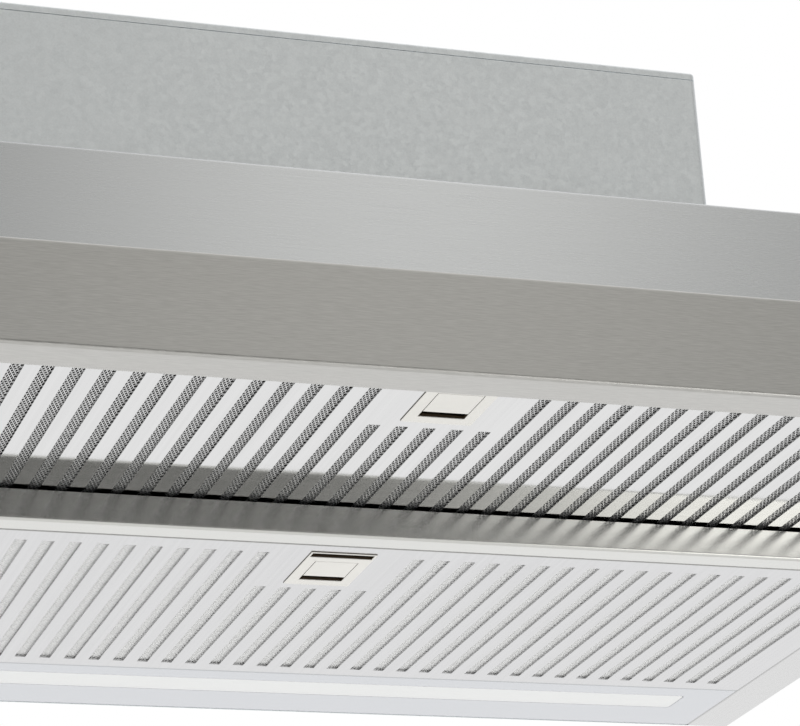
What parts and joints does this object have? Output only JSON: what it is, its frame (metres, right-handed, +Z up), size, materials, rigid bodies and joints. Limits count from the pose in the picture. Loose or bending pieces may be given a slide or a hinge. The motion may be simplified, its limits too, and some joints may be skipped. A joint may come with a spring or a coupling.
{
  "type": "pull-out range hood",
  "caption": "Slim cabinet range hood with a steel-fronted pull-out tray, slotted grease filters with sliding latches, a galvanised blower box and a round duct collar.",
  "frame": {"origin": "centre of the four cabinet screw holes, on the top face of the casing", "axes": "+X to the right as seen from the front, +Y towards the wall, +Z up; the tray draws out along -Y"},
  "size_m": [0.598, 0.4711, 0.2985],
  "materials": {
    "stainless": "brushed along the width",
    "galvanised": "galvanised, fine spangle",
    "filter": "bright satin",
    "mesh": "expanded mesh, bright",
    "latch": "moulded, cream",
    "spring_steel": "bright spring steel",
    "lens": "frosted, translucent",
    "white_sheet": "white enamel",
    "led_board": "white solder mask",
    "white_plastic": "moulded, white",
    "black_plastic": "moulded, fine grain",
    "zinc": "zinc plated",
    "motor": "dark lacquered core",
    "key": "gloss black"
  },
  "bodies": {
    "housing": {"front_panel": "stainless", "side_panel_left": "stainless", "side_panel_right": "stainless", "back_panel": "galvanised", "top_panel": "galvanised", "front_rail": "stainless", "light_panel": "stainless", "light_lens": "lens", "led_channel": "white_sheet", "led_board": "led_board", "led_driver": "white_plastic", "slide_outer_left": "zinc", "slide_outer_right": "zinc", "blower_box": "galvanised", "box_screws": "zinc", "box_lid": "galvanised", "lid_screws": "zinc", "outlet_collar": "black_plastic", "collar_screws": "zinc", "damper_pin": "zinc", "scroll_wrap": "galvanised", "scroll_cheek_left": "galvanised", "scroll_cheek_right": "galvanised", "motor": "motor", "motor_bracket": "zinc", "terminal_box": "black_plastic", "terminal_cover": "black_plastic", "cable_gland": "black_plastic", "capacitor": "white_plastic"},
    "fixed_filter": {"fixed_filter_panel": "filter", "fixed_filter_mesh": "mesh", "fixed_latch_bezel": "latch", "fixed_latch_spring": "spring_steel"},
    "fixed_latch": {"fixed_latch_catch": "latch"},
    "tray": {"fascia": "stainless", "tray_front_bar": "stainless", "tray_rear_bar": "stainless", "tray_side_left": "stainless", "tray_side_right": "stainless", "tray_cover": "stainless", "tray_filter_panel": "filter", "tray_filter_mesh": "mesh", "tray_latch_bezel": "latch", "tray_latch_spring": "spring_steel", "slide_inner_left": "zinc", "slide_inner_right": "zinc", "switch_block": "black_plastic", "fascia_screws": "zinc"},
    "tray_latch": {"tray_latch_catch": "latch"},
    "slide_left": {"slide_middle_left": "zinc"},
    "slide_right": {"slide_middle_right": "zinc"},
    "key_1": {"key_1": "key"},
    "key_2": {"key_2": "key"},
    "key_3": {"key_3": "key"},
    "key_4": {"key_4": "key"},
    "key_5": {"key_5": "key"},
    "wheel": {"impeller": "black_plastic", "motor_shaft": "zinc"},
    "damper_front": {"damper_flap_front": "black_plastic"},
    "damper_rear": {"damper_flap_rear": "black_plastic"}
  },
  "joints": [
    {"name": "tray_slide", "type": "slide", "parent": "housing", "child": "tray", "axis": [0, 1, 0], "range_m": [0, 0.171]},
    {"name": "slide_left_run", "type": "slide", "parent": "housing", "child": "slide_left", "axis": [0, 1, 0], "range_m": [0, 0.0855]},
    {"name": "slide_right_run", "type": "slide", "parent": "housing", "child": "slide_right", "axis": [0, 1, 0], "range_m": [0, 0.0855]},
    {"name": "fixed_filter_swing", "type": "hinge", "parent": "housing", "child": "fixed_filter", "pos_m": [0, 0.06965, -0.178], "axis": [1, 0, 0], "range_deg": [0, 45]},
    {"name": "fixed_latch_slide", "type": "slide", "parent": "fixed_filter", "child": "fixed_latch", "axis": [0, 1, 0], "range_m": [0, 0.005], "stiffness_N_per_m": 400, "springref_m": -0.003, "deforming": ["fixed_latch_spring"]},
    {"name": "tray_latch_slide", "type": "slide", "parent": "tray", "child": "tray_latch", "axis": [0, 1, 0], "range_m": [0, 0.005], "stiffness_N_per_m": 400, "springref_m": -0.003, "deforming": ["tray_latch_spring"]},
    {"name": "key_1_press", "type": "slide", "parent": "tray", "child": "key_1", "axis": [0, 1, 0], "range_m": [0, 0.002], "stiffness_N_per_m": 300, "springref_m": -0.002},
    {"name": "key_2_press", "type": "slide", "parent": "tray", "child": "key_2", "axis": [0, 1, 0], "range_m": [0, 0.002], "stiffness_N_per_m": 300, "springref_m": -0.002},
    {"name": "key_3_press", "type": "slide", "parent": "tray", "child": "key_3", "axis": [0, 1, 0], "range_m": [0, 0.002], "stiffness_N_per_m": 300, "springref_m": -0.002},
    {"name": "key_4_press", "type": "slide", "parent": "tray", "child": "key_4", "axis": [0, 1, 0], "range_m": [0, 0.002], "stiffness_N_per_m": 300, "springref_m": -0.002},
    {"name": "key_5_press", "type": "slide", "parent": "tray", "child": "key_5", "axis": [0, 1, 0], "range_m": [0, 0.002], "stiffness_N_per_m": 300, "springref_m": -0.002},
    {"name": "wheel_spin", "type": "hinge", "parent": "housing", "child": "wheel", "pos_m": [0, -0.014, -0.038], "axis": [1, 0, 0], "continuous": true},
    {"name": "damper_front_swing", "type": "hinge", "parent": "housing", "child": "damper_front", "pos_m": [0, 0.022, 0.0993], "axis": [-1, 0, 0], "range_deg": [0, 75]},
    {"name": "damper_rear_swing", "type": "hinge", "parent": "housing", "child": "damper_rear", "pos_m": [0, 0.022, 0.0993], "axis": [1, 0, 0], "range_deg": [0, 75]}
  ],
  "couplings": [
    {"joint": "slide_left_run", "follows": "tray_slide", "ratio": 0.5},
    {"joint": "slide_right_run", "follows": "tray_slide", "ratio": 0.5}
  ]
}
